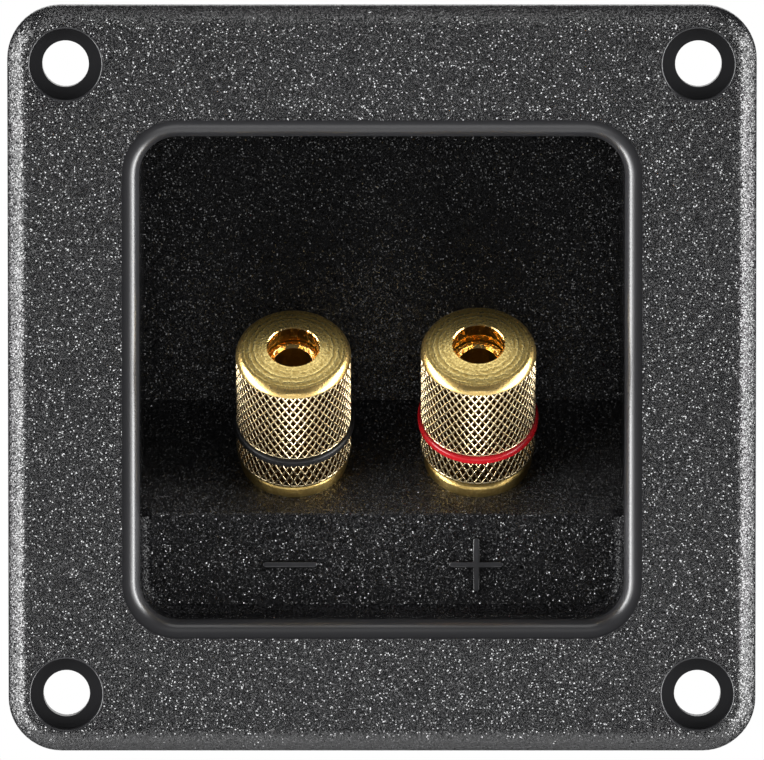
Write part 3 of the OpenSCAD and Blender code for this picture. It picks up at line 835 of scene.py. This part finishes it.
def towards(azimuth_deg, height_deg):
    """A direction from the plate: 0 degrees of azimuth lie in front of it, and more lie to its right."""
    azimuth, rise = math.radians(azimuth_deg), math.radians(height_deg)
    return Vector((math.sin(azimuth) * math.cos(rise), -math.cos(azimuth) * math.cos(rise), math.sin(rise)))


def soft_box(name, azimuth_deg, height_deg, distance, width, height, radiance):
    """A rectangular lamp that looks at the plate. Its power follows from how bright its face should be."""
    data = bpy.data.lights.new(name, "AREA")
    data.shape = "RECTANGLE"
    data.size, data.size_y = width, height
    data.energy = radiance * math.pi * width * height
    outward = towards(azimuth_deg, height_deg)
    lamp = bpy.data.objects.new(name, data)
    lamp.location = aim + distance * outward
    lamp.rotation_euler = outward.to_track_quat("Z", "Y").to_euler()
    bpy.context.scene.collection.objects.link(lamp)
    print(f"{name} {data.energy:.1f} W")


def black_card(name, azimuth_deg, distance, width, height):
    """Matt black paper that faces the plate from behind: a square of one metre, scaled to its size."""
    bm = bmesh.new()
    bmesh.ops.create_grid(bm, x_segments=1, y_segments=1, size=0.5)
    outward = towards(azimuth_deg, 0)
    facing_plate = outward.to_track_quat("Z", "Y").to_matrix().to_4x4()
    size = Matrix.Diagonal((width, height, 1, 1))
    place = Matrix.Translation(aim + distance * outward) @ facing_plate @ size
    material, _, shader = new_material(name + "_black_paper")
    shader.inputs["Base Color"].default_value = linear("#101010")
    shader.inputs["Roughness"].default_value = PAPER_ROUGHNESS
    card = make_piece(bm, name, place, [material], crisp_deg=30)
    card.visible_camera = False


for name, hand in (("left", -1), ("right", 1)):
    soft_box(name + "_tube", azimuth_deg=78 * hand, height_deg=-5, distance=0.8,
             width=0.23, height=1.3, radiance=14.5)
    soft_box(name + "_sheet", azimuth_deg=82 * hand, height_deg=-5, distance=0.85,
             width=1.0, height=1.3, radiance=3.4)
    black_card(name + "_card", azimuth_deg=145 * hand, distance=0.55, width=0.5, height=1.2)
soft_box("low_box", azimuth_deg=0, height_deg=-38, distance=0.9, width=0.4, height=0.3, radiance=1.4)
soft_box("top_box", azimuth_deg=0, height_deg=81, distance=0.8, width=0.38, height=0.24, radiance=1.9)
soft_box("front_box", azimuth_deg=0, height_deg=44, distance=0.9, width=0.4, height=0.4, radiance=0.6)

# %% [markdown]
# ## The floor, the backdrop and the world
# The plate hangs over a plain pale floor, in front of a white backdrop that is bent into a half circle. The
# backdrop is white to the camera and in reflections, which the Light Path node decides, so it sends no
# light onto the object otherwise. The world adds a faint, even light, because a room is never quite black.

# %% Make the floor, the backdrop and the world
FLOOR_DROP, STAGE_RADIUS, BACKDROP_HEIGHT = 0.72, 2.7, 1.7
STAGE_STEPS = 32
FLOOR_ROUGHNESS, WORLD_LEVEL = 0.9, 0.08


def seen_directly(tree):
    """1 for rays from the camera and for rays that a glossy or clear surface sends on."""
    path = add_node(tree, "LightPath")
    seen = path.outputs["Is Camera Ray"]
    for other in ("Is Glossy Ray", "Is Transmission Ray"):
        seen = add_node(tree, "Math", {0: seen, 1: path.outputs[other]}, operation="MAXIMUM").outputs[0]
    return seen


def make_floor(level):
    """Matt painted board: an even, pale grey."""
    bm = bmesh.new()
    bmesh.ops.create_circle(bm, cap_ends=True, segments=2 * STAGE_STEPS, radius=STAGE_RADIUS)
    material, _, shader = new_material("pale_floor")
    shader.inputs["Base Color"].default_value = linear("#c4c4c4")
    shader.inputs["Roughness"].default_value = FLOOR_ROUGHNESS
    make_piece(bm, "floor", Matrix.Translation((0, 0, level)), [material], crisp_deg=30)


def make_backdrop(level):
    """White paper that is plain white to the eye."""
    bm = bmesh.new()
    foot, head = (bm.verts.new((STAGE_RADIUS, 0, height)) for height in (level, level + BACKDROP_HEIGHT))
    bmesh.ops.spin(bm, geom=[foot, head, bm.edges.new((foot, head))], cent=(0, 0, 0), axis=(0, 0, 1),
                   angle=math.pi, steps=STAGE_STEPS)
    material, tree, shader = new_material("white_backdrop")
    shader.inputs["Base Color"].default_value = linear("#000000")
    shader.inputs["Specular IOR Level"].default_value = 0.0
    shader.inputs["Emission Color"].default_value = linear("#ffffff")
    tree.links.new(seen_directly(tree), shader.inputs["Emission Strength"])
    make_piece(bm, "backdrop", Matrix.Identity(4), [material], crisp_deg=30)


def make_world():
    world = bpy.data.worlds.new("studio")
    bpy.context.scene.world = world
    world.use_nodes = True
    background = world.node_tree.nodes["Background"]
    background.inputs["Color"].default_value = linear("#ffffff")
    background.inputs["Strength"].default_value = WORLD_LEVEL


floor_level = cad_box[0].z - FLOOR_DROP
make_floor(floor_level)
make_backdrop(floor_level)
make_world()
print(f"floor at {floor_level:.3f} m")
